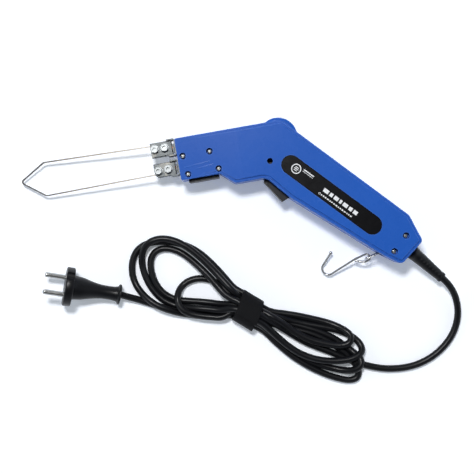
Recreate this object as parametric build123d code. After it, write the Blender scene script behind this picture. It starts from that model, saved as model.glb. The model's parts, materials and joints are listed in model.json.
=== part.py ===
from build123d import *
import math
import os

# A hand-held hot wire cutter lying on its side: two plastic half shells round a transformer, a trigger,
# a loop of resistance strip clamped in two terminals, a hanging hook, and a mains cord tied in a hank.
# +X runs along the nose from the blade's tip to the handle, +Y is the back of the tool, +Z is up.
# The origin is on the table, under the bend where the nose and the handle meet.

# ---------------------------------------------------------------- driving dimensions, in mm
THICKNESS = 40.0  # across both shells
SPLIT_Z = THICKNESS / 2
WALL = 3.0
FACE = 2.8  # thickness of the two big faces
LEDGE_IN = 2.8  # the raised face stands this far inside the silhouette
LEDGE_DROP = 2.0
NOSE_X = -84.3  # the flat front of the nose
TOP_Y = 24.0
NOSE_BOTTOM_Y = -14.3
CREASE_X = -28.0  # the nose gets thinner from here to its front
NOSE_DROP = 3.0
HUMP_CENTRE = (8.7, 9.5)
HUMP_R = 17.6
HUMP_INSET_Z = 4.5

HANDLE_FRONT = (15.4, -17.8)  # the front end of the label, on the handle's axis
HANDLE_DEG = -46.4
LABEL_LENGTH = 108.5
LABEL_WIDTH = 17.3
LABEL_DEPTH = 1.2
LABEL_PLATE = 0.9

NOSE_SCREWS = [(-79.3, 7.0), (-54.8, 7.1), (-77.3, -10.0), (-49.2, -9.8)]
BEND_SCREW = [(-2.5, -11.1)]
REAR_SCREWS = [(106.7, -98.8), (93.9, -111.0)]
BOSS_R = 4.2
POST_R = 2.9  # the two posts of the cord's clamp
REAR_BOSS_R = 3.3
HEAD_R = 2.6
HEAD_H = 2.0
SHANK_R = 1.5
RECESS_R = 3.1
SHALLOW_HEAD_Z = 33.5
DEEP_HEAD_Z = 27.0
SCREW_FOOT_Z = 5.0
SCREW_CLEARANCE = 0.2

BLADE_T = 1.0
BLADE_H = 3.0
BLADE_DROOP_DEG = 6.2
UPPER_LEG_Y = 22.0
LOWER_LEG_Y = -4.4
TERMINAL_FRONT_X = -107.6
TERMINAL_BACK_X = -88.0
UPPER_TERMINAL_Y = (11.0, 24.3)
LOWER_TERMINAL_Y = (-7.4, 5.0)
BLOCK_Z = (11.0, 21.5)
PLATE_H = 2.6
WASHER_H = 0.8
CLAMP_HEAD_H = 3.2
CLAMP_SCREW_X = (-104.0, -94.9)
UPPER_CLAMP_Y = 18.3
LOWER_CLAMP_Y = -1.6

BAR_T = 3.0
BAR_Z = (13.0, 21.0)

CORE_LEG = 6.0  # half the width of the transformer's centre leg
CORE_S = (19.0, 49.0)  # the core along the handle, across it, and in height
CORE_T = (-14.0, 22.0)
CORE_Z = (10.0, 30.0)
COIL_OUT = 5.2  # the winding's thickness beside the centre leg
COIL_HALF_Z = 15.4
TUBE_HALF_Z = 11.2
LEAD_R = 1.1

TRIGGER_ORIGIN = (-8.0, -25.5)  # where the belly meets the underside of the handle
TRIGGER_DEG = -49.1
TRIGGER_PIVOT = (1.5, 3.0)
TRIGGER_Z = (12.0, 28.0)
TRIGGER_GAP = 0.4
TRIGGER_PROFILE = [(-1.6, -0.8), (0.4, -4.2), (24.8, -7.6), (26.9, -1.0), (26.6, 2.0), (4.6, 4.4), (-1.2, 4.6)]
TRIGGER_WINDOW_U = (-2.2, 27.6)
SWITCH_U = (5.0, 24.6)
SWITCH_N = (8.6, 15.4)
PLUNGER_U = (12.7, 15.3)
PLUNGER_N = (4.0, 10.4)
PLUNGER_Z = (17.3, 22.7)
LEAF = [(23.4, 8.3), (22.4, 6.2), (25.4, 4.6), (19.6, 3.1)]
LEAF_T = 0.4
PIN_R = 1.5
RUNNING = 0.05  # radial clearance of a hole that turns on a pin

HOOK_PIN = (85.2, -109.6)
HOOK_WIRE_R = 0.95
BAIL_WIRE_R = 0.7
BAIL_END = (69.4, -113.6)
BAIL_Z = (11.0, 24.0)
BAIL_SWING = (-4.0, 60.0)
HOOK_DEG = 199.0
HOOK_TILT_DEG = 15.0
HOOK_EYE_Z = 15.5
HOOK_BALL_R = 1.6
HOOK_LINE = [(26.0, -19.7), (41.6, -11.1), (39.5, -1.9), (8.8, -4.2), (-4.4, -3.4), (-4.4, 2.5), (2.0, 2.5)]
HOOK_RADII = [5.2, 5.2, 9.0, 2.4, 2.4]
HOOK_EYE_END = (9.6, -2.9)

CORD_D = 6.4
CORD_R = CORD_D / 2
JACKET_T = 1.4  # the cord's place between the rear screws, on the handle's axes
JACKET_Z = 21.2
CLAMP_Z = (24.5, 28.3)
BOOT_START = (111.6, -114.2)
BOOT_DEG = -50.0
BOOT_PITCH_DEG = 9.5
BOOT_LENGTH = 38.5
BOOT_GROOVE_R = 5.5
BOOT_PROFILE = [  # radius, then height from the end of the handle
    (CORD_R, -8.8), (8.0, -8.8), (8.0, -5.4), (BOOT_GROOVE_R, -5.4), (BOOT_GROOVE_R, 1.2), (6.5, 1.2), (6.5, 4.2),
    (6.1, 5.2), (4.5, BOOT_LENGTH - 2.5), (4.9, BOOT_LENGTH - 2.0), (4.9, BOOT_LENGTH), (CORD_R, BOOT_LENGTH),
]

PLUG_EXIT = (-159.3, -107.2)
PLUG_DEG = 160.6
PLUG_ROLL_DEG = 38.0
FLANGE_R = 18.0
COLLAR_R = 9.5
PLUG_LENGTH = 52.0
PLUG_PIN_R = 2.4
PLUG_PIN_LENGTH = 19.0
PLUG_PIN_PITCH = 19.0
PLUG_PIN_STEP = 0.4  # the pin's thinner root shows this far outside the plug's face
PLUG_ROOT_R = 2.0
PLUG_ROOT_DEPTH = 6.9
FLANGE_H = 8.0
PLUG_PROFILE = [  # radius, then height from the cord's exit to the pins
    (0, 0), (COLLAR_R, 0), (COLLAR_R, 2.2), (6.9, 3.2), (6.3, 12), (6.6, 19), (8.2, 27), (10.6, 35),
    (11.4, PLUG_LENGTH - FLANGE_H), (FLANGE_R, PLUG_LENGTH - FLANGE_H), (FLANGE_R, PLUG_LENGTH), (0, PLUG_LENGTH),
]

HANK_H = 13.4
WAIST_W = 26.0
WAIST_H = 17.6
STRAP_T = 1.3
STRAP_W = 22.0
TIE_CENTRE = (-46.4, -142.2)
TIE_DEG = -41.5

SILHOUETTE = [  # corner, then the radius of its round
    ((NOSE_X, TOP_Y), 1.5),
    ((13.4, TOP_Y), 9.0),
    ((112.8, -80.8), 7.0),
    ((121.0, -106.0), 4.0),
    ((98.6, -123.6), 5.0),
    ((83.0, -111.9), 3.0),
    ((9.8, -46.5), 20.0),
    ((-8.4, -25.2), 9.0),
    ((-36.5, -25.2), 5.0),
    ((-48.8, NOSE_BOTTOM_Y), 2.0),
    ((NOSE_X, NOSE_BOTTOM_Y), 1.5),
]


# ---------------------------------------------------------------- small helpers
def export(part, name):
    export_step(part, f"parts/{name}.step")


def outline(corners):
    path = FilletPolyline(*[c for c, r in corners], radius=[r for c, r in corners], close=True)
    return make_face(path.edges())


def slab(face, low, high):
    return Pos(0, 0, low) * extrude(face, high - low)


def box_between(x, y, z):
    size = (x[1] - x[0], y[1] - y[0], z[1] - z[0])
    middle = ((x[0] + x[1]) / 2, (y[0] + y[1]) / 2, (z[0] + z[1]) / 2)
    return Pos(*middle) * Box(*size)


def rod(centre, radius, low, high):
    return Pos(centre[0], centre[1], (low + high) / 2) * Cylinder(radius, high - low)


def turned(point, degrees):
    angle = math.radians(degrees)
    x = point[0] * math.cos(angle) - point[1] * math.sin(angle)
    y = point[0] * math.sin(angle) + point[1] * math.cos(angle)
    return (x, y)


def on_handle(s, t):
    """A point s along the handle's axis and t towards its back."""
    x, y = turned((s, t), HANDLE_DEG)
    return (HANDLE_FRONT[0] + x, HANDLE_FRONT[1] + y)


def on_trigger(u, n):
    """A point u along the underside behind the belly and n into the shell."""
    x, y = turned((u, n), TRIGGER_DEG)
    return (TRIGGER_ORIGIN[0] + x, TRIGGER_ORIGIN[1] + y)


def handle_place():
    return Location((HANDLE_FRONT[0], HANDLE_FRONT[1], 0), (0, 0, HANDLE_DEG))


def trigger_place():
    return Location((TRIGGER_ORIGIN[0], TRIGGER_ORIGIN[1], 0), (0, 0, TRIGGER_DEG))


def strip(points, radii, thickness, low, high):
    """An upright strip whose middle line follows the points."""
    line = FilletPolyline(*points, radius=radii)
    return slab(trace(line, thickness).face(), low, high)


def turned_profile(profile):
    """A solid of revolution about Z from pairs of radius and height."""
    face = make_face(Polyline(*[(r, 0, h) for r, h in profile], close=True))
    return revolve(face, Axis.Z)


def wire_along(path, radius):
    start = Plane(path @ 0, z_dir=path % 0)
    return sweep(start * Circle(radius), path=path)


# ---------------------------------------------------------------- shells
def nose_wedges(depth):
    """What the two tapering faces of the nose take away, moved inwards by depth."""
    slope = NOSE_DROP / (CREASE_X - NOSE_X)
    far = NOSE_X - 10
    drop = slope * (CREASE_X - far)
    top = THICKNESS - depth
    profile = Polyline((CREASE_X, top), (far, top - drop), (far, top + 9), (CREASE_X, top + 9), close=True)
    upper = extrude(Plane.XZ * make_face(profile), 80, both=True)
    lower = mirror(upper, Plane.XY.offset(SPLIT_Z))
    return upper + lower


def outer_body():
    face = outline(SILHOUETTE)
    rim = slab(face, LEDGE_DROP, THICKNESS - LEDGE_DROP)
    rim = chamfer(rim.edges().filter_by(Plane.XY), 0.8)
    raised = slab(offset(face, -LEDGE_IN).face(), 0, THICKNESS)
    raised = fillet(raised.edges().filter_by(Plane.XY), 0.8)
    hump = rod(HUMP_CENTRE, HUMP_R, HUMP_INSET_Z, THICKNESS - HUMP_INSET_Z)
    hump = fillet(hump.edges().filter_by(GeomType.CIRCLE), 3.0)
    return (rim + raised - nose_wedges(0)) + hump


def cavity():
    room = slab(offset(outline(SILHOUETTE), -WALL).face(), FACE, THICKNESS - FACE)
    hump_low = HUMP_INSET_Z + WALL
    hump = rod(HUMP_CENTRE, HUMP_R - WALL, hump_low, THICKNESS - hump_low)
    return (room - nose_wedges(FACE)) + hump


def bar_slots():
    """Where the two busbars leave through the front of the nose."""
    x = (NOSE_X - 1, NOSE_X + WALL + 1)
    low, high = BAR_Z
    slots = None
    for y in (bar_y(UPPER_TERMINAL_Y), bar_y(LOWER_TERMINAL_Y)):
        half = BAR_T / 2 + 1
        slot = box_between(x, (y - half, y + half), (low - 1, high + 1))
        slots = slot if slots is None else slots + slot
    return slots


def bar_y(terminal_y):
    return (terminal_y[0] + terminal_y[1]) / 2


def trigger_window():
    low, high = TRIGGER_Z
    window = box_between(TRIGGER_WINDOW_U, (-12, 8), (low - TRIGGER_GAP, high + TRIGGER_GAP))
    return trigger_place() * window


def hook_pocket():
    """Room round the hook's pin, with a mouth as wide as the bail swings."""
    low = BAIL_Z[0] - 2.0
    high = BAIL_Z[1] + 2.0
    pocket = rod(HOOK_PIN, 3.5, low, high)
    rest = bail_angle()
    steps = 4
    for i in range(steps + 1):
        swing = BAIL_SWING[0] + (BAIL_SWING[1] - BAIL_SWING[0]) * i / steps
        mouth = box_between((0, 12), (-1.9, 1.9), (low, high))
        pocket = pocket + Location((HOOK_PIN[0], HOOK_PIN[1], 0), (0, 0, rest + swing)) * mouth
    return pocket


def bail_angle():
    return math.degrees(math.atan2(BAIL_END[1] - HOOK_PIN[1], BAIL_END[0] - HOOK_PIN[0]))


def pocket_wall():
    """The closed wall round the hook's pin, so that the pocket doesn't open into the handle."""
    return rod(HOOK_PIN, 5.5, 0, THICKNESS)


def boot_place():
    tilt = Location((0, 0, 0), (0, 90 + BOOT_PITCH_DEG, 0))
    return Location((BOOT_START[0], BOOT_START[1], SPLIT_Z), (0, 0, BOOT_DEG)) * tilt


def boot_seat():
    """The round opening in the end of the handle that the strain relief's groove sits in."""
    return boot_place() * Cylinder(BOOT_GROOVE_R + 0.1, 24)


def hook_pin_socket():
    return rod(HOOK_PIN, PIN_R, BAIL_Z[0] - 7, BAIL_Z[1] + 7)


def pin_socket():
    pivot = on_trigger(*TRIGGER_PIVOT)
    return rod(pivot, PIN_R, 7, THICKNESS - 7)


def shell_blank():
    """Both halves in one piece, hollow, with all that is cut from the side."""
    hollow = cavity() - pocket_wall()
    body = outer_body() - hollow
    body = body - bar_slots() - trigger_window() - hook_pocket() - boot_seat()
    return body


def bosses(points, radius, low, high):
    group = None
    for point in points:
        boss = rod(point, radius, low, high)
        group = boss if group is None else group + boss
    return group


def lower_half(blank):
    low = 1.0
    half = blank & box_between((-300, 300), (-300, 300), (-1, SPLIT_Z))
    half = half + bosses(NOSE_SCREWS, BOSS_R, NOSE_DROP + 1, SPLIT_Z)
    half = half + bosses(BEND_SCREW, BOSS_R, low, SPLIT_Z)
    half = half + bosses(REAR_SCREWS, REAR_BOSS_R, low, SPLIT_Z)
    half = half + bosses(clamp_posts(), POST_R, low, CLAMP_Z[0])
    pivot = on_trigger(*TRIGGER_PIVOT)
    half = half + rod(pivot, 3.0, low, TRIGGER_Z[0] - TRIGGER_GAP)
    half = half + core_cradle(FACE - 0.3, CORE_Z[0])
    for point in NOSE_SCREWS + BEND_SCREW + REAR_SCREWS:
        half = half - rod(point, SHANK_R, SCREW_FOOT_Z - 1.0, SPLIT_Z)
    for point in clamp_posts():
        half = half - rod(point, SHANK_R, SCREW_FOOT_Z, CLAMP_Z[0])
    half = half - pin_socket() - hook_pin_socket()
    return half


def clamp_posts():
    return [on_handle(106.4, t) for t in (JACKET_T - 7.2, JACKET_T + 7.2)]


def upper_half(blank):
    top = THICKNESS - 1.0
    half = blank & box_between((-300, 300), (-300, 300), (SPLIT_Z, THICKNESS + 1))
    half = half + bosses(NOSE_SCREWS, BOSS_R, SPLIT_Z, THICKNESS - NOSE_DROP - 1)
    half = half + bosses(BEND_SCREW, BOSS_R, SPLIT_Z, top)
    half = half + bosses(REAR_SCREWS, REAR_BOSS_R, SPLIT_Z, top)
    pivot = on_trigger(*TRIGGER_PIVOT)
    half = half + rod(pivot, 3.0, TRIGGER_Z[1] + TRIGGER_GAP, top)
    half = half + core_cradle(CORE_Z[1], THICKNESS - FACE + 0.3)
    for point in NOSE_SCREWS + REAR_SCREWS:
        half = half - rod(point, RECESS_R, SHALLOW_HEAD_Z, THICKNESS + 1)
    for point in BEND_SCREW:
        half = half - rod(point, RECESS_R - 0.4, DEEP_HEAD_Z, THICKNESS + 1)
    for point in NOSE_SCREWS + BEND_SCREW + REAR_SCREWS:
        half = half - rod(point, SHANK_R + SCREW_CLEARANCE, SPLIT_Z, THICKNESS + 1)
    half = half - slab(label_face(0.25), THICKNESS - LABEL_DEPTH, THICKNESS + 1)
    half = half - pin_socket() - hook_pin_socket()
    return half


def label_face(margin):
    stadium = SlotOverall(LABEL_LENGTH + 2 * margin, LABEL_WIDTH + 2 * margin)
    middle = LABEL_LENGTH / 2 - LABEL_WIDTH / 2
    return (handle_place() * Pos(middle, 0) * stadium).face()


def label_plate():
    low = THICKNESS - LABEL_DEPTH
    return slab(label_face(0), low, low + LABEL_PLATE)


# ---------------------------------------------------------------- screws
def shell_screws(points, head_z):
    screws = []
    for point in points:
        head = rod(point, HEAD_R, head_z, head_z + HEAD_H)
        head = fillet(head.edges().sort_by(Axis.Z)[-1], 0.7)
        recess = box_between((-0.35, 0.35), (-1.6, 1.6), (head_z + 1, head_z + 3))
        cross = recess + Rot(0, 0, 90) * recess
        shank = rod(point, SHANK_R, SCREW_FOOT_Z, head_z)
        screws.append(head + shank - Pos(point[0], point[1], 0) * cross)
    return Compound(children=screws)


# ---------------------------------------------------------------- terminals and blade
def terminal_outline(y, chamfered):
    x = (TERMINAL_FRONT_X, TERMINAL_BACK_X)
    if not chamfered:
        points = [(x[0], y[0]), (x[1], y[0]), (x[1], y[1]), (x[0], y[1])]
    else:
        points = [(x[0] + 2.4, y[0]), (x[1], y[0]), (x[1], y[1]), (x[0], y[1]), (x[0], y[0] + 2.4)]
    return make_face(Polyline(*points, close=True))


def leg_groove(leg_y):
    half = BLADE_T / 2
    low = BLOCK_Z[1] - BLADE_H
    return box_between((TERMINAL_FRONT_X - 1, -90), (leg_y - half, leg_y + half), (low, BLOCK_Z[1]))


def terminal_block(y, leg_y, screw_y, chamfered):
    block = slab(terminal_outline(y, chamfered), *BLOCK_Z) - leg_groove(leg_y)
    block = block - box_between((-110, -91.4), (y[0] - 1, y[1] + 1), (BLOCK_Z[0] - 1, BLOCK_Z[0] + 1.5))
    for x in CLAMP_SCREW_X:
        block = block - rod((x, screw_y), SHANK_R + 0.1, BLOCK_Z[0] + 1, BLOCK_Z[1] + 1)
    return block


def clamp_plate(y, screw_y, chamfered):
    low = BLOCK_Z[1]
    plate = slab(terminal_outline(y, chamfered), low, low + PLATE_H)
    plate = chamfer(plate.faces().sort_by(Axis.Z)[-1].edges(), 0.4)
    for x in CLAMP_SCREW_X:
        plate = plate - rod((x, screw_y), SHANK_R + 0.1, low - 1, low + PLATE_H + 1)
    return plate


def clamp_points():
    return [(x, y) for y in (UPPER_CLAMP_Y, LOWER_CLAMP_Y) for x in CLAMP_SCREW_X]


def clamp_washers():
    low = BLOCK_Z[1] + PLATE_H
    rings = []
    for point in clamp_points():
        ring = rod(point, 4.0, low, low + WASHER_H) - rod(point, SHANK_R + 0.1, low - 1, low + 2)
        rings.append(ring)
    return Compound(children=rings)


def clamp_screws():
    low = BLOCK_Z[1] + PLATE_H + WASHER_H
    high = low + CLAMP_HEAD_H
    screws = []
    for point in clamp_points():
        head = rod(point, 3.5, low, high)
        head = fillet(head.edges().sort_by(Axis.Z)[-1], 0.5)
        socket = Pos(point[0], point[1], high - 2.2) * extrude(RegularPolygon(1.9, 6), 3)
        shank = rod(point, SHANK_R, BLOCK_Z[0] + 2.5, low)
        screws.append(head - socket + shank)
    return Compound(children=screws)


def terminal_bracket(y):
    """A sheet-metal channel that wraps the back of a terminal against the front of the nose."""
    gauge = 1.2
    back = NOSE_X - 0.2
    front = -92.4
    outer = outline([
        ((front, y[0] - gauge), 0),
        ((back, y[0] - gauge), 2.2),
        ((back, y[1] + gauge), 2.2),
        ((front, y[1] + gauge), 0),
    ])
    inner = box_between((front - 1, back - gauge), y, (0, THICKNESS))
    channel = slab(outer, 8.5, 27.5) - inner
    tongue = box_between((-87.4, -86.4), (y[0] + 1.5, y[1] - 3.5), (BAR_Z[1] + 1.0, 26.5))
    web = box_between((-87.4, back - 0.4), (y[0] + 1.5, y[1] - 3.5), (BAR_Z[1] + 1.0, BAR_Z[1] + 2.0))
    middle = bar_y(y)
    half = BAR_T / 2 + 0.5
    low, high = BAR_Z
    slot = box_between((back - 3, back + 1), (middle - half, middle + half), (low - 0.5, high + 0.5))
    return channel + tongue + web - slot


def heating_blade():
    start = TERMINAL_FRONT_X
    loop = strip(
        [(start, UPPER_LEG_Y), (-208.8, 25.6), (-233.4, 11.2), (-211.4, -5.2), (start, LOWER_LEG_Y)],
        [5.0, 2.4, 5.0],
        BLADE_T,
        -BLADE_H / 2,
        BLADE_H / 2,
    )
    middle = BLOCK_Z[1] - BLADE_H / 2
    hinge = Location((start, 0, middle), (0, -BLADE_DROOP_DEG, 0))
    loop = hinge * Pos(-start, 0, 0) * loop
    legs = None
    for y in (UPPER_LEG_Y, LOWER_LEG_Y):
        half = BLADE_T / 2
        z = (BLOCK_Z[1] - BLADE_H, BLOCK_Z[1])
        leg = box_between((start - 0.25, -91), (y - half, y + half), z)
        legs = leg if legs is None else legs + leg
    return loop + legs


def busbar(y, points, radii):
    start = (TERMINAL_BACK_X, y)
    return strip([start] + points, radii, BAR_T, *BAR_Z)


def nose_insulator():
    block = box_between((-80.9, -66.0), (-10.8, 20.6), (6.4, 33.6))
    block = block - box_between((-78, -69), (-7, 17), (9, 12.4)) - box_between((-78, -69), (-7, 17), (22, 31))
    for point in NOSE_SCREWS:
        block = block - rod(point, BOSS_R + 0.3, 0, THICKNESS)
    for y in (UPPER_TERMINAL_Y, LOWER_TERMINAL_Y):
        middle = bar_y(y)
        half = BAR_T / 2
        block = block - box_between((-90, -60), (middle - half, middle + half), BAR_Z)
    return block


def guide_rail():
    """The black bar under the nose, with a foot that the shells hold."""
    bar = box_between((-77.8, -49.9), (NOSE_BOTTOM_Y - 3.2, NOSE_BOTTOM_Y), (9.5, 30.5))
    return chamfer(bar.edges().filter_by(Axis.Z), 0.5)


# ---------------------------------------------------------------- transformer and wiring
def core_cradle(low, high):
    """Four posts under the corners of the core."""
    posts = None
    for s in (CORE_S[0] + 2.5, CORE_S[1] - 2.5):
        for t in (CORE_T[0] + 2.5, CORE_T[1] - 2.5):
            post = rod(on_handle(s, t), 2.2, low, high)
            posts = post if posts is None else posts + post
    return posts


def transformer_core():
    core = box_between(CORE_S, CORE_T, CORE_Z)
    for side in (-1, 1):
        middle = (CORE_T[0] + CORE_T[1]) / 2 + side * 1.5 * CORE_LEG
        half = CORE_LEG / 2
        s = (CORE_S[0] + CORE_LEG, CORE_S[1] - CORE_LEG)
        core = core - box_between(s, (middle - half, middle + half), (0, THICKNESS))
    return handle_place() * core


def ring_block(s, half_t, half_z):
    middle = (CORE_T[0] + CORE_T[1]) / 2
    return box_between(s, (middle - half_t, middle + half_t), (SPLIT_Z - half_z, SPLIT_Z + half_z))


def coil_ring(outer, inner, s):
    """A square ring round the centre leg. outer and inner are half its width and half its height."""
    block = ring_block(s, *outer)
    if outer[1] > COIL_HALF_Z - 1:
        block = fillet(block.edges().filter_by(Axis.X), 1.2)
    return block - ring_block((s[0] - 1, s[1] + 1), *inner)


def transformer_bobbin():
    s = (CORE_S[0] + CORE_LEG + 0.1, CORE_S[1] - CORE_LEG - 0.1)
    leg = (CORE_LEG + 0.1, TUBE_HALF_Z - 1.1)
    cheek_size = (CORE_LEG + COIL_OUT + 0.6, COIL_HALF_Z + 0.4)
    tube = coil_ring((CORE_LEG + 1.1, TUBE_HALF_Z), leg, s)
    cheek = coil_ring(cheek_size, leg, (s[0], s[0] + 1.2))
    other = coil_ring(cheek_size, leg, (s[1] - 1.2, s[1]))
    return handle_place() * (tube + cheek + other)


def transformer_winding():
    s = (CORE_S[0] + CORE_LEG + 1.3, CORE_S[1] - CORE_LEG - 1.3)
    ring = coil_ring((CORE_LEG + COIL_OUT, COIL_HALF_Z), (CORE_LEG + 1.1, TUBE_HALF_Z), s)
    return handle_place() * ring


def tube_through(points, radii, radius):
    return wire_along(FilletPolyline(*points, radius=radii), radius)


def mains_leads():
    """The two cores of the mains cord, from its jacket to the switch and to the winding."""
    end = 102.4
    gap = CORE_S[0] - 2.15
    first = [(*on_handle(end, JACKET_T - 1.6), JACKET_Z), (*on_handle(84, -4), 18), (*on_handle(56, -14.6), 20),
             (*on_handle(34, -16.2), 20), (*on_handle(gap, -16.0), 20), (*on_handle(gap, -6.2), 20),
             (*on_handle(11.45, -6.2), 20)]
    second = [(*on_handle(end, JACKET_T + 1.6), JACKET_Z), (*on_handle(84, 9), 28),
              (*on_handle(62, 9.5), 32.6), (*on_handle(CORE_S[1] - CORE_LEG + 0.1, 9), 32.6)]
    return Compound(children=[
        tube_through(first, [20, 20, 30, 2.6, 2.6], LEAD_R),
        tube_through(second, [20, 20], LEAD_R),
    ])


def cord_jacket():
    """The cord inside the boot and the handle, as far as its clamp."""
    points = [
        boot_axis(BOOT_LENGTH),
        boot_axis(-12.2),
        (*on_handle(116.5, JACKET_T), JACKET_Z),
        (*on_handle(102.8, JACKET_T), JACKET_Z),
    ]
    return tube_through(points, [18.0, 18.0], CORD_R - 0.03)


def cord_clamp():
    clamp = box_between((102.4, 110.4), (JACKET_T - 10.0, JACKET_T + 10.0), CLAMP_Z)
    clamp = fillet(clamp.edges().filter_by(Axis.Z), 1.0)
    clamp = handle_place() * clamp
    for point in clamp_posts():
        clamp = clamp - rod(point, SHANK_R + 0.1, 0, THICKNESS)
    return clamp


def cord_clamp_screws():
    screws = []
    for point in clamp_posts():
        head = rod(point, HEAD_R, CLAMP_Z[1], CLAMP_Z[1] + 1.8)
        screws.append(head + rod(point, SHANK_R, SCREW_FOOT_Z + 1, CLAMP_Z[1]))
    return Compound(children=screws)


# ---------------------------------------------------------------- trigger and switch
def trigger():
    low, high = TRIGGER_Z
    body = slab(make_face(Polyline(*TRIGGER_PROFILE, close=True)), low, high)
    body = fillet(body.edges().group_by(Axis.Y)[0], 0.9)
    body = body - rod(TRIGGER_PIVOT, PIN_R + RUNNING, 0, THICKNESS)
    return trigger_place() * body


def trigger_pin():
    return rod(on_trigger(*TRIGGER_PIVOT), PIN_R, 7.2, THICKNESS - 7.2)


def switch_body():
    body = box_between(SWITCH_U, SWITCH_N, (15.0, 25.0))
    well_u = (PLUNGER_U[0] - 0.3, PLUNGER_U[1] + 0.3)
    well_z = (PLUNGER_Z[0] - 0.3, PLUNGER_Z[1] + 0.3)
    body = body - box_between(well_u, (SWITCH_N[0] - 1, PLUNGER_N[1] + 2.4), well_z)
    for u in (SWITCH_U[0] + 2, SWITCH_U[1] - 4.6):
        body = body + box_between((u, u + 1.0), (SWITCH_N[1], SWITCH_N[1] + 3), (17.5, 22.5))
    return trigger_place() * body


def switch_plunger():
    return trigger_place() * box_between(PLUNGER_U, PLUNGER_N, PLUNGER_Z)


def trigger_spring():
    """A bent leaf between the switch and the inside of the trigger."""
    leaf = strip(LEAF, [0.8, 0.7], LEAF_T, 17.5, 22.5)
    return trigger_place() * leaf


# ---------------------------------------------------------------- hook
def hook_pin():
    return rod(HOOK_PIN, PIN_R, BAIL_Z[0] - 6.5, BAIL_Z[1] + 6.5)


def hook_bail():
    """A U of thin wire whose two eyes turn on the pin and whose cross bar carries the hook."""
    low, high = BAIL_Z
    reach = math.hypot(BAIL_END[0] - HOOK_PIN[0], BAIL_END[1] - HOOK_PIN[1])
    place = Location((HOOK_PIN[0], HOOK_PIN[1], 0), (0, 0, bail_angle()))
    ring_r = PIN_R + RUNNING + BAIL_WIRE_R
    path = FilletPolyline((ring_r, 0, low), (reach, 0, low), (reach, 0, high), (ring_r, 0, high),
                          radius=[2.0, 2.0])
    bail = wire_along(path, BAIL_WIRE_R)
    for z in BAIL_Z:
        eye = rod((0, 0), ring_r + BAIL_WIRE_R, z - BAIL_WIRE_R, z + BAIL_WIRE_R)
        bail = bail + eye
    bail = bail - rod((0, 0), PIN_R + RUNNING, 0, THICKNESS)
    return place * bail


def hanging_hook():
    """Local +X runs from the bail's cross bar down the shank. The eye is a teardrop round that bar."""
    main = FilletPolyline(*HOOK_LINE, radius=HOOK_RADII)
    hook = wire_along(main, HOOK_WIRE_R)
    hook = hook + wire_along(Line(HOOK_LINE[-1], HOOK_EYE_END), HOOK_WIRE_R)
    hook = hook + Pos(*HOOK_LINE[-1]) * Sphere(HOOK_WIRE_R)
    hook = hook + Pos(*HOOK_LINE[0]) * Sphere(HOOK_BALL_R)
    place = Location((BAIL_END[0], BAIL_END[1], HOOK_EYE_Z), (0, 0, HOOK_DEG))
    return place * Rot(0, HOOK_TILT_DEG, 0) * hook


# ---------------------------------------------------------------- strain relief and cord
def strain_relief_boot():
    """A tapered rubber sleeve with a flange inside the shell and a lip at its thin end."""
    return boot_place() * turned_profile(BOOT_PROFILE)


def boot_axis(along):
    point = (boot_place() * Pos(0, 0, along)).position
    return (point.X, point.Y, point.Z)


def cord_lead_points():
    return [
        boot_axis(BOOT_LENGTH),
        boot_axis(BOOT_LENGTH + 10.9),
        (147.6, -167.4, 6.6),
        (146.0, -184.6, CORD_R),
        (136.5, -200.9, CORD_R),
        (119.4, -214.0, CORD_R),
        (98.5, -220.7, CORD_R),
        (75.0, -219.6, CORD_R),
        (53.0, -211.4, CORD_R),
    ]


def plug_lead_points():
    return [
        plug_exit(),
        (-151.6, -111.2, 6.6),
        (-143.0, -115.4, 4.0),
        (-135.0, -119.8, CORD_R),
    ]


def cord_radii(points):
    """Each arc is 0.45 of its shorter run over the tangent of half the turn."""
    radii = []
    for i in range(1, len(points) - 1):
        before = Vector(*points[i]) - Vector(*points[i - 1])
        after = Vector(*points[i + 1]) - Vector(*points[i])
        turn = math.radians(before.get_angle(after))
        radii.append(0.45 * min(before.length, after.length) / math.tan(turn / 2))
    return radii


def cord_tube(name, points):
    radii = cord_radii(points)
    path = FilletPolyline(*points, radius=radii)
    tube = wire_along(path, CORD_R)
    share = tube.volume / (math.pi * CORD_R**2 * path.length)
    print(name, "radii", [round(r, 1) for r in radii], "length", round(path.length, 1), "share", round(share, 4))
    return tube


def plug_pitch():
    """The plug lies on the rims of its flange and its collar."""
    return math.degrees(math.asin((FLANGE_R - COLLAR_R) / (PLUG_LENGTH - 7)))


def plug_place():
    """Local +Z runs from the cord's exit to the pins."""
    tilt = Location((0, 0, 0), (0, 90 - plug_pitch(), 0))
    height = COLLAR_R * math.cos(math.radians(plug_pitch())) + 0.1
    return Location((PLUG_EXIT[0], PLUG_EXIT[1], height), (0, 0, PLUG_DEG)) * tilt


def plug_exit():
    start = plug_place().position
    return (start.X, start.Y, start.Z)


def plug_body():
    body = turned_profile(PLUG_PROFILE)
    for side in (-1, 1):
        notch = Pos(side * (FLANGE_R + 0.6), 0, PLUG_LENGTH - 4) * Cylinder(3.0, 12)
        body = body - notch
    for side in (-1, 1):
        hole = rod((0, side * PLUG_PIN_PITCH / 2), PLUG_ROOT_R, PLUG_LENGTH - PLUG_ROOT_DEPTH, PLUG_LENGTH + 1)
        body = body - hole
    return plug_place() * Rot(0, 0, PLUG_ROLL_DEG) * body


def plug_pins():
    pins = []
    for side in (-1, 1):
        centre = (0, side * PLUG_PIN_PITCH / 2)
        low = PLUG_LENGTH + PLUG_PIN_STEP
        pin = rod(centre, PLUG_PIN_R, low, PLUG_LENGTH + PLUG_PIN_LENGTH)
        pin = fillet(pin.edges().sort_by(Axis.Z)[-1], 1.6)
        pins.append(pin + rod(centre, PLUG_ROOT_R, PLUG_LENGTH - PLUG_ROOT_DEPTH, low))
    return plug_place() * Rot(0, 0, PLUG_ROLL_DEG) * Compound(children=pins)


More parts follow.
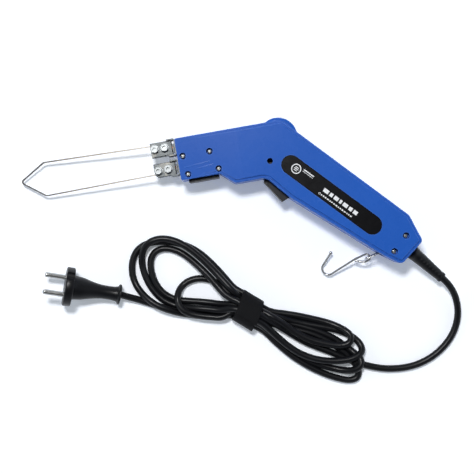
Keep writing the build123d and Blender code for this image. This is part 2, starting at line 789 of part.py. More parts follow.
LEFT_LOBE = [  # the outer shape of the hank's loops on the plug's side of the tie
    ((-52.5, -126.8), 0), ((-73.0, -79.0), 30), ((-106.0, -57.6), 24), ((-138.0, -60.6), 16),
    ((-151.8, -86.0), 26), ((-138.5, -118.6), 30), ((-99.0, -143.0), 40), ((-62.8, -149.8), 0),
]
RIGHT_LOBE = [  # and on the tool's side
    ((-33.0, -140.2), 0), ((8.0, -151.6), 60), ((41.0, -166.0), 40), ((62.0, -195.0), 14),
    ((49.0, -227.8), 12), ((22.0, -224.0), 40), ((-20.0, -194.0), 60), ((-43.2, -158.4), 0),
]


def cord_hank():
    left = slab(outline(LEFT_LOBE), 0, HANK_H)
    right = slab(outline(RIGHT_LOBE), 0, HANK_H)
    left = fillet(left.edges().filter_by(Plane.XY), 2.5)
    right = fillet(right.edges().filter_by(Plane.XY), 2.5)
    waist = tie_place() * box_between((-17, 17), (-WAIST_W / 2, WAIST_W / 2), (STRAP_T, STRAP_T + WAIST_H))
    belt = tie_place() * box_between((-STRAP_W / 2, STRAP_W / 2), (-60, 60), (-1, 60))
    return (left + right - belt) + waist


def tie_place():
    return Location((TIE_CENTRE[0], TIE_CENTRE[1], 0), (0, 0, TIE_DEG))


def hank_tie():
    half_w = WAIST_W / 2
    outer = box_between(
        (-STRAP_W / 2, STRAP_W / 2), (-half_w - STRAP_T, half_w + STRAP_T), (0, WAIST_H + 2 * STRAP_T)
    )
    outer = fillet(outer.edges().filter_by(Axis.X), 2.4)
    inner = box_between((-30, 30), (-half_w, half_w), (STRAP_T, STRAP_T + WAIST_H))
    return tie_place() * (outer - inner)


# ---------------------------------------------------------------- write every node
os.makedirs("parts", exist_ok=True)

blank = shell_blank()
export(lower_half(blank), "lower_shell")
export(upper_half(blank), "upper_shell")
export(label_plate(), "label_plate")
export(shell_screws(NOSE_SCREWS, SHALLOW_HEAD_Z), "nose_screws")
export(shell_screws(BEND_SCREW, DEEP_HEAD_Z), "bend_screw")
export(shell_screws(REAR_SCREWS, SHALLOW_HEAD_Z), "rear_screws")

export(terminal_block(UPPER_TERMINAL_Y, UPPER_LEG_Y, UPPER_CLAMP_Y, False), "upper_terminal_block")
export(terminal_block(LOWER_TERMINAL_Y, LOWER_LEG_Y, LOWER_CLAMP_Y, True), "lower_terminal_block")
export(clamp_plate(UPPER_TERMINAL_Y, UPPER_CLAMP_Y, False), "upper_clamp_plate")
export(clamp_plate(LOWER_TERMINAL_Y, LOWER_CLAMP_Y, True), "lower_clamp_plate")
export(clamp_washers(), "clamp_washers")
export(clamp_screws(), "clamp_screws")
export(terminal_bracket(UPPER_TERMINAL_Y), "upper_terminal_bracket")
export(terminal_bracket(LOWER_TERMINAL_Y), "lower_terminal_bracket")
export(heating_blade(), "heating_blade")
export(nose_insulator(), "nose_insulator")
export(guide_rail(), "guide_rail")

upper_y = bar_y(UPPER_TERMINAL_Y)
lower_y = bar_y(LOWER_TERMINAL_Y)
export(busbar(upper_y, [(4.0, upper_y), on_handle(CORE_S[0] - 0.4, 9.0)], [12.0]), "upper_busbar")
export(busbar(lower_y, [(2.0, lower_y), on_handle(CORE_S[0] - 0.4, -1.0)], [10.0]), "lower_busbar")
export(transformer_core(), "transformer_core")
export(transformer_bobbin(), "transformer_bobbin")
export(transformer_winding(), "transformer_winding")
export(mains_leads(), "mains_leads")
export(cord_jacket(), "cord_jacket")
export(cord_clamp(), "cord_clamp")
export(cord_clamp_screws(), "cord_clamp_screws")

export(trigger(), "trigger")
export(trigger_pin(), "trigger_pin")
export(trigger_spring(), "trigger_spring")
export(switch_body(), "switch_body")
export(switch_plunger(), "switch_plunger")

export(hook_pin(), "hook_pin")
export(hook_bail(), "hook_bail")
export(hanging_hook(), "hanging_hook")

export(strain_relief_boot(), "strain_relief_boot")
export(cord_tube("cord_lead", cord_lead_points()), "cord_lead")
export(cord_tube("cord_plug_lead", plug_lead_points()), "cord_plug_lead")
export(cord_hank(), "cord_hank")
export(hank_tie(), "hank_tie")
export(plug_body(), "plug_body")
export(plug_pins(), "plug_pins")
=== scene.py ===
import json
import math

import bmesh
import bpy
from mathutils import Matrix, Vector


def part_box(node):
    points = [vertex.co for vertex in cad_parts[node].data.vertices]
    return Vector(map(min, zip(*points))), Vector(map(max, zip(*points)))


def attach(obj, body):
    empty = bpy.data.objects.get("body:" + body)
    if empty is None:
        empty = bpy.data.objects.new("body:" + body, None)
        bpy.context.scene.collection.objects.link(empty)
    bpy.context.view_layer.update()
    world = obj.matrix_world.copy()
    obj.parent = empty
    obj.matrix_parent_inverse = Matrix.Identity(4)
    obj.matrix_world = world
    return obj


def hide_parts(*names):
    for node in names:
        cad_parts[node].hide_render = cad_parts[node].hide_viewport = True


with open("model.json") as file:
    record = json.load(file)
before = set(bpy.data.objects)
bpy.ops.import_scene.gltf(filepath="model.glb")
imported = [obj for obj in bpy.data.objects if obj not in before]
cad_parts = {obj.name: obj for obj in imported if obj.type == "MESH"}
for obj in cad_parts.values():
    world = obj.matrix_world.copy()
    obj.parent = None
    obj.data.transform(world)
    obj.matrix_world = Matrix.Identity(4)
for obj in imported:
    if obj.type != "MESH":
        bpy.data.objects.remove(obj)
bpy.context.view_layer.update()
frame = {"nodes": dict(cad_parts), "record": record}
nodes = frame["nodes"]
MM = 0.001
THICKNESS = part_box("upper_shell")[1].z
scene = bpy.context.scene


# ---------------------------------------------------------------- camera: looking straight down
CAMERA_HEIGHT = 1.1
VIEW_WIDTH = 0.443  # what the view spans on the table
CAMERA_OVER = (-0.0437, -0.0734)
CAMERA_TURN = math.radians(-10)
SENSOR_WIDTH = 36  # in millimetres, as Blender has it

camera_data = bpy.data.cameras.new("camera")
camera = bpy.data.objects.new("camera", camera_data)
scene.collection.objects.link(camera)
scene.camera = camera
camera_data.sensor_width = SENSOR_WIDTH
camera_data.lens = SENSOR_WIDTH * CAMERA_HEIGHT / VIEW_WIDTH
camera.location = (*CAMERA_OVER, CAMERA_HEIGHT)
camera.rotation_euler = (0, 0, CAMERA_TURN)


def image_direction(right, up, out=0.0):
    """A direction in the model's frame from one in the camera's view, where out is towards the camera."""
    turn = Matrix.Rotation(CAMERA_TURN, 3, "Z")
    return turn @ Vector((right, up, out))


# ---------------------------------------------------------------- the cord, in millimetres
CORD_D = 6.4
LEAD = [
    (136.008, -143.288, 13.646), (142.918, -151.524, 11.847), (147.6, -167.4, 6.6), (146.0, -184.6, 3.2),
    (136.5, -200.9, 3.2), (119.4, -214.0, 3.2), (98.5, -220.7, 3.2), (75.0, -219.6, 3.2),
    (57.0, -213.5, 3.2),
]
LEAD_IN_HANK = [
    (44.7, -207.2, 3.2), (36.6, -202.8, 3.2), (28.2, -196.9, 3.2), (19.7, -191.6, 3.2), (11.1, -186.7, 3.2),
    (2.6, -181.2, 3.2), (-5.7, -174.5, 3.4), (-13.9, -166.8, 5), (-22.1, -159.4, 9),
]
PLUG_LEAD_IN_HANK = [
    (-65.8, -140.8, 3.6), (-76.8, -137.7, 3.2), (-87.8, -135.7, 3.2), (-98.8, -133.5, 3.2),
    (-109.7, -131.2, 3.2), (-119.1, -128.0, 3.2), (-127.4, -124.1, 3.2),
]
PLUG_LEAD = [(-135.0, -119.8, 3.2), (-143.0, -115.4, 4.0), (-151.6, -111.2, 6.6), (-159.3, -107.2, 9.429)]

# The loops of the hank, each from the tie and back to it: L_ on the plug's side and R_ on the tool's.
LOOPS = {
    "L_inner": [
        (-63.1, -125.3, 13), (-69.0, -115.9, 10.5), (-74.8, -106.0, 9.6), (-80.9, -97.4, 8.6),
        (-87.1, -89.5, 6.5), (-93.5, -82.3, 4.4), (-100.1, -76.8, 3.2), (-107.5, -72.9, 3.2),
        (-115.3, -71.7, 3.2), (-121.9, -73.9, 3.2), (-126.1, -79.3, 3.2), (-127.9, -86.4, 3.2),
        (-127.7, -95.0, 3.2), (-125.8, -103.2, 3.2), (-122.2, -110.6, 3.2), (-116.8, -116.6, 3.2),
        (-109.8, -120.9, 3.2), (-100.8, -123.8, 3.2), (-89.9, -126.3, 3.2), (-79.1, -129.2, 3.4),
        (-69.2, -132.3, 5.5),
    ],
    "R_low": [
        (-29.1, -155.9, 9), (-19.5, -161.5, 5), (-9.8, -165.6, 3.2), (-0.1, -169.6, 3.2),
        (9.5, -174.3, 3.2), (18.0, -179.8, 3.2), (25.9, -186.1, 3.2), (32.7, -192.8, 3.2),
        (39.0, -200.3, 3.2), (43.8, -207.8, 3.2), (46.9, -215.4, 3.2), (44.2, -222.2, 3.2),
        (37.0, -223.2, 3.2), (28.8, -220.4, 3.2), (19.2, -215.8, 3.2), (9.0, -209.4, 3.2),
        (-1.1, -201.9, 3.2), (-10.8, -193.0, 3.2), (-19.9, -182.9, 3.2), (-28.0, -172.4, 3.2),
        (-34.8, -162.5, 3.6),
    ],
    "L_outer": [
        (-76.0, -143.6, 3.2), (-86.8, -140.9, 3.2), (-96.7, -138.0, 3.2), (-105.6, -135.0, 4.6),
        (-113.8, -131.3, 7.4), (-121.4, -127.2, 9), (-128.6, -122.4, 9.2), (-134.6, -116.5, 8.4),
        (-140.2, -109.2, 5.6), (-144.0, -101.5, 3.6), (-145.8, -93.2, 3.2), (-145.4, -85.2, 3.2),
        (-143.2, -77.6, 3.2), (-138.8, -70.6, 3.2), (-132.3, -66.1, 3.2), (-124.0, -64.5, 3.2),
        (-115.1, -65.1, 3.2), (-105.9, -66.9, 3.2), (-97.1, -70.2, 3.2), (-88.9, -74.8, 3.2),
        (-81.0, -81.3, 3.2), (-74.0, -89.6, 3.2), (-67.2, -99.3, 3.2), (-60.6, -110.1, 3.2),
        (-54.8, -120.2, 3.6),
    ],
    "R_top": [
        (-25.5, -147.4, 3.8), (-14.7, -150.7, 3.2), (-4.0, -154.2, 3.2), (6.6, -158.3, 3.2),
        (17.2, -162.8, 3.2), (26.8, -167.1, 3.6), (35.2, -172.3, 5.4), (41.6, -177.4, 8.6),
        (45.0, -183.2, 9.8), (41.6, -189.0, 9.8), (32.5, -189.4, 9.6), (23.0, -186.1, 9.6),
        (14.2, -182.8, 9.6), (5.5, -178.3, 9.6), (-2.4, -172.7, 9.6), (-9.7, -165.8, 9.9),
        (-16.9, -158.5, 11), (-24.3, -151.9, 13.8),
    ],
    "L_top": [
        (-57.5, -119.9, 13.5), (-63.8, -110.2, 11), (-70.1, -100.5, 9.8), (-76.8, -90.7, 9.6),
        (-83.8, -81.9, 9.6), (-90.9, -74.4, 9.6), (-98.7, -68.2, 9.6), (-107.4, -63.8, 9.6),
        (-116.5, -62.2, 9.6), (-124.8, -64.0, 9.6), (-130.9, -68.9, 8), (-134.2, -75.8, 5),
        (-135.3, -84.2, 3.2), (-134.4, -93.3, 3.2), (-132.0, -102.3, 3.2), (-128.2, -110.5, 3.2),
        (-123.0, -117.9, 3.2), (-116.4, -123.5, 3.4), (-108.1, -127.6, 3.8), (-99.0, -130.6, 6.6),
        (-89.9, -132.6, 8.8), (-79.9, -135.0, 9.6), (-70.1, -138.1, 11),
    ],
    "R_outer": [
        (-33.9, -156.1, 13), (-27.4, -165.0, 10.6), (-20.5, -174.1, 9.6), (-13.1, -182.6, 9.6),
        (-5.0, -189.9, 9.6), (4.4, -195.7, 9.6), (14.9, -200.0, 9.6), (25.7, -202.4, 9.6),
        (36.9, -203.5, 9.6), (46.5, -202.2, 9.2), (52.4, -198.3, 7.4), (52.7, -192.6, 5),
        (48.6, -185.8, 3.4), (41.2, -179.5, 3.2), (32.2, -174.4, 3.2), (22.4, -170.6, 3.2),
        (11.8, -166.7, 3.2), (1.1, -162.6, 3.2), (-9.5, -158.2, 4), (-20.1, -153.6, 6.4),
    ],
    "L_small": [
        (-58.6, -126.0, 7), (-63.9, -118.6, 4.4), (-69.8, -111.7, 3.2), (-77.6, -107.1, 3.2),
        (-86.1, -104.9, 3.2), (-94.3, -105.5, 3.2), (-101.2, -108.6, 3.4), (-105.9, -113.5, 6),
        (-108.1, -119.6, 9.6), (-108.0, -125.9, 10.4), (-104.7, -131.8, 10.8), (-98.1, -136.4, 10),
        (-89.3, -139.8, 9.6), (-79.4, -142.5, 9.6), (-69.5, -144.9, 10.2),
    ],
    "R_mid": [
        (-34.6, -158.4, 7), (-27.8, -168.5, 3.8), (-20.4, -177.4, 3.2), (-12.3, -185.4, 3.2),
        (-3.7, -193.0, 3.2), (5.0, -199.7, 3.2), (14.4, -205.3, 3.2), (24.0, -209.8, 3.2),
        (33.7, -213.2, 5), (42.6, -214.2, 8.6), (49.6, -210.6, 9.6), (49.8, -203.6, 8), (45.0, -198.5, 4.4),
        (38.6, -191.4, 3.2), (31.4, -184.2, 3.2), (23.1, -177.7, 3.2), (13.7, -171.9, 3.2),
        (3.2, -166.8, 3.2), (-7.3, -161.9, 3.2), (-18.7, -156.8, 3.4),
    ],
}
TIE_CENTRE = Vector((-46.4, -142.2, 0))
TIE_DEG = -41.5
LOW_ROW = 4.5
LOW_ROW_FAN = 1.22
# where each pass lies in the tie: across it, then the height of its centre
SLOTS = {
    "top_edge": (9.75, LOW_ROW), "top_low": (3.25, LOW_ROW),
    "bottom_low": (-3.25, LOW_ROW), "bottom_edge": (-9.3, LOW_ROW),
    "upper": (6.5, 10.1), "middle": (0.0, 10.1), "lower": (-6.5, 10.1), "crown": (3.25, 15.7),
    "crown_lower": (-3.25, 15.7),
}


def tie_point(along, across, z):
    """A point in millimetres from one along and across the tie."""
    turn = Matrix.Rotation(math.radians(TIE_DEG), 3, "Z")
    return tuple(TIE_CENTRE + turn @ Vector((along, across, z)))


def through_tie(slot, to_plug_side):
    """A pass of the cord through the tie. The lowest row fans out on the plug's side."""
    across, z = SLOTS[slot]
    fan = LOW_ROW_FAN if z == LOW_ROW else 1.0
    points = [tie_point(9.0, across, z), tie_point(-1.0, across, z), tie_point(-11.0, across * fan, z)]
    return points if to_plug_side else points[::-1]


def cord_route():
    """The whole cord in millimetres: its lead, the turns of the hank and the plug's lead."""
    route = list(LEAD + LEAD_IN_HANK)
    turns = [
        ("crown", "L_inner", "middle", "R_low"),
        ("bottom_edge", "L_outer", "top_edge", "R_top"),
        ("upper", "L_top", "crown_lower", "R_outer"),
        ("top_low", "L_small", "lower", "R_mid"),
    ]
    for slot_out, left, slot_back, right in turns:
        route += through_tie(slot_out, True) + LOOPS[left] + through_tie(slot_back, False) + LOOPS[right]
    return route + through_tie("bottom_low", True) + PLUG_LEAD_IN_HANK + PLUG_LEAD


def nurbs_curve(name, points, radius):
    """A round cord along a NURBS spline, from control points and a radius in millimetres."""
    curve = bpy.data.curves.new(name, "CURVE")
    curve.dimensions = "3D"
    spline = curve.splines.new("NURBS")
    spline.points.add(len(points) - 1)
    for target, point in zip(spline.points, points):
        target.co = (*[value * MM for value in point], 1)
    spline.order_u = 3
    spline.use_endpoint_u = True
    spline.resolution_u = 5
    curve.bevel_depth = radius * MM
    curve.bevel_resolution = 5
    curve.use_fill_caps = True
    piece = bpy.data.objects.new(name, curve)
    scene.collection.objects.link(piece)
    return piece


mains_cord = nurbs_curve("mains_cord", cord_route(), CORD_D / 2)


# ---------------------------------------------------------------- materials
HANDLE_DEG = -46.4  # the handle's heading, which the winding and the label's marks share
STRIP_ROOT_X = -0.09  # the heating strip's bright end and its dark one
STRIP_TIP_X = -0.235


class Nodes:
    """A short way to write a node material."""

    def __init__(self, name, **sockets):
        self.material = bpy.data.materials.new(name)
        self.material.use_nodes = True
        self.tree = self.material.node_tree
        self.shader = self.tree.nodes["Principled BSDF"]
        self.coordinates = self.tree.nodes.new("ShaderNodeTexCoord").outputs["Object"]
        for key, value in sockets.items():
            self.shader.inputs[key.replace("_", " ")].default_value = value

    def link(self, source, target):
        self.tree.links.new(source, target)

    def noise(self, scale, detail=4.0, roughness=0.55, stretch=None):
        node = self.tree.nodes.new("ShaderNodeTexNoise")
        node.inputs["Scale"].default_value = scale
        node.inputs["Detail"].default_value = detail
        node.inputs["Roughness"].default_value = roughness
        self.link(self.mapped(stretch), node.inputs["Vector"])
        return node.outputs["Fac"]

    def mapped(self, stretch=None, turn=0.0):
        """The object's coordinates, stretched or turned about Z."""
        if stretch is None and not turn:
            return self.coordinates
        node = self.tree.nodes.new("ShaderNodeMapping")
        node.inputs["Scale"].default_value = stretch or (1, 1, 1)
        node.inputs["Rotation"].default_value = (0, 0, turn)
        self.link(self.coordinates, node.inputs["Vector"])
        return node.outputs["Vector"]

    def wave(self, scale, direction, turn=0.0, distortion=0.0):
        node = self.tree.nodes.new("ShaderNodeTexWave")
        node.bands_direction = direction
        node.inputs["Scale"].default_value = scale
        node.inputs["Distortion"].default_value = distortion
        self.link(self.mapped(turn=turn), node.inputs["Vector"])
        return node.outputs["Fac"]

    def ramp(self, source, stops):
        """A colour ramp from (position, colour) pairs."""
        node = self.tree.nodes.new("ShaderNodeValToRGB")
        ramp = node.color_ramp
        while len(ramp.elements) < len(stops):
            ramp.elements.new(0.5)
        for element, (position, colour) in zip(ramp.elements, stops):
            element.position = position
            element.color = (*colour, 1)
        self.link(source, node.inputs["Fac"])
        return node.outputs["Color"]

    def math(self, operation, a, b):
        node = self.tree.nodes.new("ShaderNodeMath")
        node.operation = operation
        for socket, value in zip(node.inputs, (a, b)):
            if isinstance(value, (int, float)):
                socket.default_value = value
            else:
                self.link(value, socket)
        return node.outputs["Value"]

    def mix(self, factor, first, second, blend="MIX"):
        node = self.tree.nodes.new("ShaderNodeMix")
        node.data_type = "RGBA"
        node.blend_type = blend
        for socket, value in ((node.inputs[0], factor), (node.inputs[6], first), (node.inputs[7], second)):
            if isinstance(value, (int, float)):
                socket.default_value = value
            elif isinstance(value, tuple):
                socket.default_value = (*value, 1)
            else:
                self.link(value, socket)
        return node.outputs[2]

    def colour(self, source):
        self.link(source, self.shader.inputs["Base Color"])

    def roughness(self, source, low, high):
        node = self.tree.nodes.new("ShaderNodeMapRange")
        node.inputs["To Min"].default_value = low
        node.inputs["To Max"].default_value = high
        self.link(source, node.inputs["Value"])
        self.link(node.outputs["Result"], self.shader.inputs["Roughness"])

    def bump(self, source, height, strength=1.0):
        node = self.tree.nodes.new("ShaderNodeBump")
        node.inputs["Distance"].default_value = height
        node.inputs["Strength"].default_value = strength
        self.link(source, node.inputs["Height"])
        self.link(node.outputs["Normal"], self.shader.inputs["Normal"])

    def edges(self):
        """1 along edges and 0 on flat stretches, from how far a rounded normal turns from the real one."""
        bevel = self.tree.nodes.new("ShaderNodeBevel")
        bevel.samples = 4
        bevel.inputs["Radius"].default_value = 1 * MM
        geometry = self.tree.nodes.new("ShaderNodeNewGeometry")
        dot = self.tree.nodes.new("ShaderNodeVectorMath")
        dot.operation = "DOT_PRODUCT"
        self.link(bevel.outputs["Normal"], dot.inputs[0])
        self.link(geometry.outputs["Normal"], dot.inputs[1])
        return self.math("SUBTRACT", 1.0, dot.outputs["Value"])


def moulded_plastic(name, dark, light, rough, grain_mm=0.35, wear=None):
    """Injection-moulded plastic with a fine spark texture and slight mottling."""
    m = Nodes(name, Specular_IOR_Level=0.22)
    mottle = m.noise(14, 3)
    colour = m.ramp(mottle, [(0.3, dark), (0.7, light)])
    if wear:
        pale_edges = m.ramp(m.edges(), [(0.02, (0, 0, 0)), (0.12, (1, 1, 1))])
        patchy = m.ramp(m.noise(260, 4), [(0.45, (0, 0, 0)), (0.7, (1, 1, 1))])
        both = m.mix(1.0, pale_edges, patchy, "MULTIPLY")
        colour = m.mix(both, colour, wear)
    m.colour(colour)
    m.roughness(m.noise(180, 3), rough - 0.06, rough + 0.08)
    m.bump(m.noise(1 / (grain_mm * MM), 2, 0.6), 0.03 * MM)
    return m.material


def metal(name, dark, light, rough, stretch, scale, spots=None, metallic=0.72):
    """Plated or drawn metal with fine scratches, which stretch draws out along one way."""
    m = Nodes(name, Metallic=metallic)
    brushed = m.noise(scale, 4, 0.6, stretch)
    colour = m.ramp(brushed, [(0.3, dark), (0.7, light)])
    if spots:
        mask = m.ramp(m.noise(90, 5, 0.65), [(0.56, (0, 0, 0)), (0.7, (1, 1, 1))])
        colour = m.mix(mask, colour, spots)
    m.colour(colour)
    m.roughness(m.noise(240, 4), rough - 0.07, rough + 0.1)
    m.bump(brushed, 0.015 * MM)
    return m.material


def blue_shell():
    """The body's plastic, with a painted highlight along its edges and with faint scuffs."""
    m = Nodes("blue_plastic", Specular_IOR_Level=0.11)
    mottle = m.noise(9, 3)
    colour = m.ramp(mottle, [(0.3, (0.014, 0.086, 0.40)), (0.7, (0.019, 0.102, 0.45))])
    # painted highlight: every rounded edge is mixed towards a paler blue
    pale_edges = m.ramp(m.edges(), [(0.008, (0, 0, 0)), (0.07, (0.55, 0.55, 0.55))])
    colour = m.mix(pale_edges, colour, (0.10, 0.22, 0.62))
    scuffs = m.ramp(m.noise(60, 6, 0.7, (1, 6, 1)), [(0.64, (0, 0, 0)), (0.72, (0.35, 0.35, 0.35))])
    colour = m.mix(scuffs, colour, (0.06, 0.16, 0.52))
    m.colour(colour)
    m.roughness(m.noise(120, 3), 0.23, 0.32)
    m.bump(m.noise(2600, 2, 0.6), 0.03 * MM, 0.6)
    return m.material


def rubber(name, dark, light, rough):
    m = Nodes(name, Specular_IOR_Level=0.22)
    m.colour(m.ramp(m.noise(40, 3), [(0.3, dark), (0.7, light)]))
    m.roughness(m.noise(220, 4), rough - 0.08, rough + 0.08)
    m.bump(m.noise(3000, 2, 0.6), 0.02 * MM, 0.7)
    return m.material


def strap_fabric():
    m = Nodes("strap_fabric", Sheen_Weight=0.03, Sheen_Roughness=0.4, Specular_IOR_Level=0.15)
    turn = math.radians(-TIE_DEG)
    warp = m.wave(420, "X", turn=turn)
    weft = m.wave(420, "Y", turn=turn)
    weave = m.math("MULTIPLY", warp, weft)
    m.colour(m.ramp(weave, [(0.1, (0.0025, 0.0025, 0.0032)), (0.8, (0.010, 0.0104, 0.0122))]))
    m.roughness(weave, 0.8, 0.55)
    m.bump(weave, 0.12 * MM)
    return m.material


def lamination():
    m = Nodes("lamination_steel", Metallic=1.0)
    sheets = m.wave(320, "Z", distortion=0.3)
    m.colour(m.ramp(sheets, [(0.2, (0.08, 0.085, 0.09)), (0.6, (0.28, 0.29, 0.3))]))
    m.roughness(sheets, 0.55, 0.4)
    m.bump(sheets, 0.08 * MM)
    return m.material


def winding():
    m = Nodes("copper", Metallic=1.0)
    turns = m.wave(380, "X", turn=math.radians(-HANDLE_DEG), distortion=0.15)
    m.colour(m.ramp(turns, [(0.1, (0.16, 0.045, 0.015)), (0.6, (0.62, 0.24, 0.10))]))
    m.roughness(turns, 0.45, 0.28)
    m.bump(turns, 0.12 * MM)
    return m.material


def heated_strip():
    """Resistance strip: bare and bright near the terminals, straw and brown with oxide towards the tip."""
    m = Nodes("heating_alloy", Metallic=1.0)
    split = m.tree.nodes.new("ShaderNodeSeparateXYZ")
    m.link(m.coordinates, split.inputs["Vector"])
    tip = m.tree.nodes.new("ShaderNodeMapRange")
    tip.inputs["From Min"].default_value = STRIP_ROOT_X
    tip.inputs["From Max"].default_value = STRIP_TIP_X
    m.link(split.outputs["X"], tip.inputs["Value"])
    patchy = m.math("ADD", tip.outputs["Result"], m.math("MULTIPLY", m.noise(55, 4), 0.35))
    tint = m.ramp(patchy, [
        (0.2, (0.42, 0.40, 0.37)), (0.55, (0.34, 0.30, 0.25)), (0.85, (0.22, 0.185, 0.15)),
        (1.0, (0.10, 0.09, 0.085)),
    ])
    m.colour(tint)
    m.roughness(m.noise(300, 4, 0.6, (1, 4, 4)), 0.3, 0.5)
    m.bump(m.noise(700, 3, 0.6, (0.3, 3, 3)), 0.03 * MM)
    return m.material


def black_label():
    m = Nodes("label_black", Specular_IOR_Level=0.15)
    m.colour(m.ramp(m.noise(30, 3), [(0.3, (0.003, 0.003, 0.004)), (0.7, (0.005, 0.005, 0.006))]))
    m.roughness(m.noise(200, 4), 0.2, 0.3)
    m.bump(m.noise(1800, 2), 0.01 * MM, 0.5)
    return m.material


def label_print():
    m = Nodes("label_print", IOR=1.5)
    m.colour(m.ramp(m.noise(900, 3), [(0.3, (0.60, 0.61, 0.62)), (0.55, (0.80, 0.81, 0.82))]))
    m.roughness(m.noise(500, 3), 0.45, 0.6)
    m.bump(m.noise(2500, 2), 0.008 * MM)
    return m.material


MATERIALS = {
    "blue_plastic": blue_shell(),
    "black_plastic": moulded_plastic(
        "black_plastic", (0.004, 0.004, 0.005), (0.008, 0.008, 0.0095), 0.36, wear=(0.035, 0.035, 0.04)
    ),
    "label_black": black_label(),
    "zinc_steel": metal(
        "zinc_steel", (0.085, 0.094, 0.098), (0.145, 0.155, 0.16), 0.46, (1, 5, 1), 260,
        spots=(0.27, 0.26, 0.23),
    ),
    "screw_steel": metal("screw_steel", (0.19, 0.205, 0.21), (0.33, 0.345, 0.35), 0.34, None, 320),
    "heating_alloy": heated_strip(),
    "spring_wire": metal("spring_wire", (0.30, 0.30, 0.29), (0.52, 0.51, 0.50), 0.2, (3, 3, 1), 260),
    "copper": winding(),
    "lamination_steel": lamination(),
    "phenolic": moulded_plastic("phenolic", (0.055, 0.030, 0.014), (0.095, 0.052, 0.024), 0.5, 0.6),
    "nylon": moulded_plastic("nylon", (0.55, 0.53, 0.48), (0.64, 0.62, 0.57), 0.4, 0.5),
    "cord_rubber": rubber("cord_rubber", (0.0035, 0.0037, 0.0048), (0.0060, 0.0063, 0.0078), 0.33),
    "wire_blue": moulded_plastic("wire_blue", (0.02, 0.06, 0.30), (0.03, 0.08, 0.36), 0.38, 0.5),
    "strap_fabric": strap_fabric(),
    "plug_plastic": moulded_plastic(
        "plug_plastic", (0.0038, 0.0040, 0.0050), (0.0070, 0.0073, 0.0088), 0.34, 0.3
    ),
    "pin_nickel": metal(
        "pin_nickel", (0.36, 0.36, 0.355), (0.52, 0.52, 0.51), 0.22, (3, 1, 1), 220, metallic=0.93
    ),
}
PRINT = label_print()
DARK_SCREW = metal("screw_dark", (0.012, 0.012, 0.014), (0.03, 0.03, 0.033), 0.45, None, 320)

slot_of_node = {entry["node"]: entry["material_slot"] for entry in frame["record"]["subparts"]}


def smooth_by_angle(piece, degrees):
    piece.data.shade_smooth()
    piece.data.set_sharp_from_angle(angle=math.radians(degrees))


for name, node in nodes.items():
    node.material_slots[0].material = MATERIALS[slot_of_node[name]]
nodes["bend_screw"].material_slots[0].material = DARK_SCREW
mains_cord.data.materials.append(MATERIALS["cord_rubber"])
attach(mains_cord, "tool")
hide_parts("cord_lead", "cord_hank", "cord_plug_lead")


# ---------------------------------------------------------------- mesh helpers
def new_piece(name, bm, material, body, angle, replaced=()):
    """Makes an object of the mesh, riding on body. Edges sharper than angle stay sharp."""
    bmesh.ops.recalc_face_normals(bm, faces=bm.faces)
    mesh = bpy.data.meshes.new(name)
    bm.to_mesh(mesh)
    bm.free()
    piece = bpy.data.objects.new(name, mesh)
    scene.collection.objects.link(piece)
    mesh.materials.append(material)
    smooth_by_angle(piece, angle)
    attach(piece, body)
    if replaced:
        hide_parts(*replaced)
    return piece


def add_prism(bm, outline, low, high, place, bevel=0.0):
    """A closed prism over an outline of (x, y) points in metres, with its top's edges rounded by bevel."""
    bottom = [bm.verts.new(place @ Vector((x, y, low))) for x, y in outline]
    top = [bm.verts.new(place @ Vector((x, y, high))) for x, y in outline]
    lid = bm.faces.new(top)
    bm.faces.new(bottom[::-1])
    count = len(outline)
    for i in range(count):
        j = (i + 1) % count
        bm.faces.new((bottom[i], bottom[j], top[j], top[i]))
    if bevel:
        bmesh.ops.bevel(bm, geom=list(lid.edges), offset=bevel, segments=2, profile=0.6, affect="EDGES")


def rounded_box(width, depth, radius, steps=4):
    """The outline of a rectangle with round corners."""
    points = []
    for cx, cy, start in ((1, 1, 0), (-1, 1, 90), (-1, -1, 180), (1, -1, 270)):
        for i in range(steps + 1):
            angle = math.radians(start + 90 * i / steps)
            points.append((
                cx * (width / 2 - radius) + radius * math.cos(angle),
                cy * (depth / 2 - radius) + radius * math.sin(angle),
            ))
    return points


def circle(radius, steps, centre):
    angles = [2 * math.pi * i / steps for i in range(steps)]
    return [(centre[0] + radius * math.cos(angle), centre[1] + radius * math.sin(angle)) for angle in angles]


def add_lathe(bm, profile, steps, place, shape=None):
    """A closed solid of revolution about Z from (radius, height) pairs that start and end on the axis.
    shape(angle, radius, height) may change a ring's radius."""
    rings = []
    for radius, height in profile:
        if radius < 1e-7:
            rings.append([bm.verts.new(place @ Vector((0, 0, height)))])
            continue
        ring = []
        for i in range(steps):
            angle = 2 * math.pi * i / steps
            r = shape(angle, radius, height) if shape else radius
            ring.append(bm.verts.new(place @ Vector((r * math.cos(angle), r * math.sin(angle), height))))
        rings.append(ring)
    for lower, upper in zip(rings, rings[1:]):
        for i in range(steps):
            j = (i + 1) % steps
            if len(lower) == 1:
                bm.faces.new((lower[0], upper[i], upper[j]))
            elif len(upper) == 1:
                bm.faces.new((lower[j], lower[i], upper[0]))
            else:
                bm.faces.new((lower[i], lower[j], upper[j], upper[i]))


# ---------------------------------------------------------------- plug
PLUG_EXIT = Vector(PLUG_LEAD[-1]) * MM
PLUG_AXIS = Vector((-0.926243, 0.326182, 0.188889))
PLUG_ROLL = math.radians(38)
PIN_PITCH = 19.0
# the finger hollows, along the plug
HOLLOW_START, HOLLOW_RISE, HOLLOW_END = 24, 14, 44
HOLLOW_DEPTH = 0.13


def plug_frame():
    """Local +Z runs from the cord's exit to the pins, and local Y is the line through both pins."""
    pitch = math.asin(PLUG_AXIS.z)
    heading = math.atan2(PLUG_AXIS.y, PLUG_AXIS.x)
    turn = (
        Matrix.Rotation(heading, 4, "Z") @ Matrix.Rotation(math.pi / 2 - pitch, 4, "Y")
        @ Matrix.Rotation(PLUG_ROLL, 4, "Z")
    )
    return Matrix.Translation(PLUG_EXIT) @ turn


